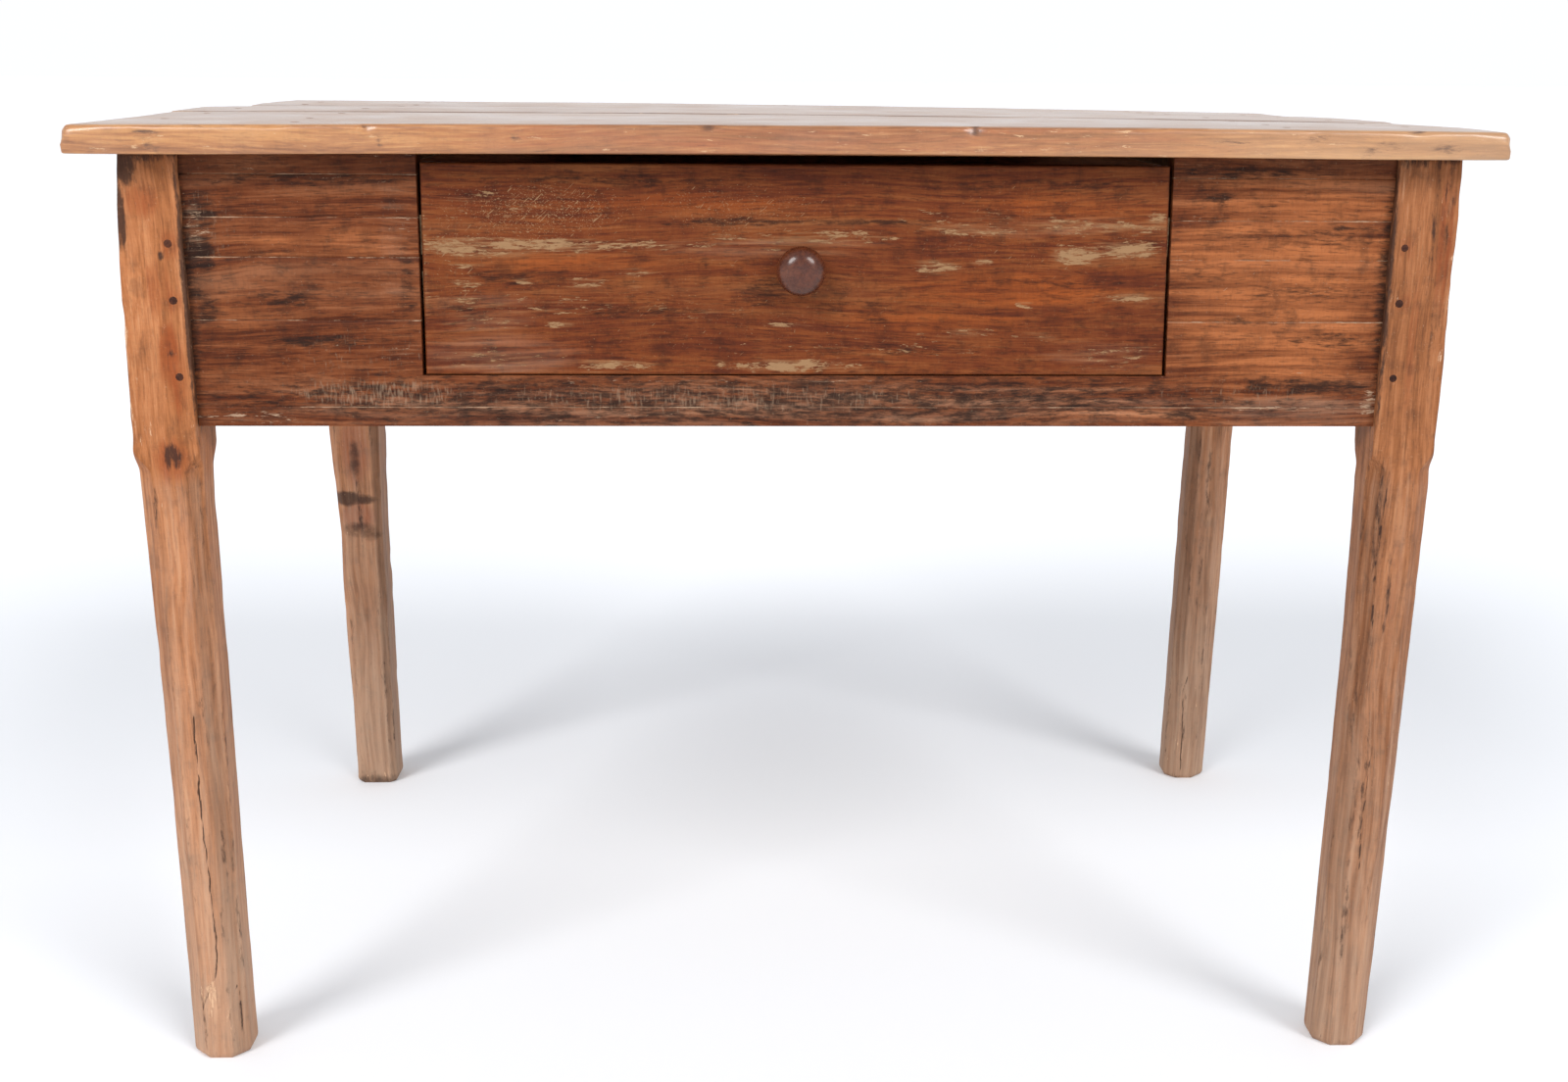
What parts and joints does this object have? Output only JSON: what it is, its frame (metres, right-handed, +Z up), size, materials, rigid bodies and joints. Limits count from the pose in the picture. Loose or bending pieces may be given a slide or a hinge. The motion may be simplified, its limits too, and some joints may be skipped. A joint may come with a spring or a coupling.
{
  "type": "tavern table",
  "caption": "Rustic wooden tavern table with a plank top, wide aprons pegged into chamfered square legs, and a flush drawer with a turned knob in the front apron.",
  "frame": {"origin": "on the floor, under the middle of the top", "axes": "+X along the front to the right, +Y from the drawer front to the back, +Z up"},
  "size_m": [1.084, 0.704, 0.7865],
  "materials": {
    "top_boards": "worn waxed boards",
    "legs": "worn waxed wood",
    "aprons": "dark worn stain",
    "drawer_front": "red-brown worn stain",
    "drawer_box": "bare aged wood",
    "inner_strips": "bare aged wood",
    "knob": "turned and polished",
    "pegs": "dark end grain",
    "iron": "forged, rusted"
  },
  "bodies": {
    "frame": {"top_plank_front": "top_boards", "top_pegs_front": "pegs", "top_plank_middle": "top_boards", "top_pegs_middle": "pegs", "top_plank_rear": "top_boards", "top_pegs_rear": "pegs", "leg_front_left": "legs", "pegs_front_left": "pegs", "leg_front_right": "legs", "pegs_front_right": "pegs", "leg_rear_right": "legs", "pegs_rear_right": "pegs", "leg_rear_left": "legs", "pegs_rear_left": "pegs", "front_apron": "aprons", "rear_apron": "aprons", "right_apron": "aprons", "left_apron": "aprons", "top_cleat_left": "inner_strips", "drawer_runner_left": "inner_strips", "drawer_guide_left": "inner_strips", "drawer_stop_left": "inner_strips", "top_cleat_right": "inner_strips", "drawer_runner_right": "inner_strips", "drawer_guide_right": "inner_strips", "drawer_stop_right": "inner_strips", "guide_nails": "iron"},
    "drawer": {"drawer_front": "drawer_front", "drawer_side_left": "drawer_box", "drawer_side_right": "drawer_box", "drawer_back": "drawer_box", "drawer_back_sprigs": "iron", "drawer_bottom_board_1": "drawer_box", "drawer_bottom_board_2": "drawer_box", "drawer_bottom_board_3": "drawer_box", "drawer_bottom_nails": "iron", "drawer_knob": "knob", "knob_wedge": "drawer_box"}
  },
  "joints": [
    {"name": "drawer_slide", "type": "slide", "parent": "frame", "child": "drawer", "axis": [0, -1, 0], "range_m": [0, 0.42]}
  ]
}
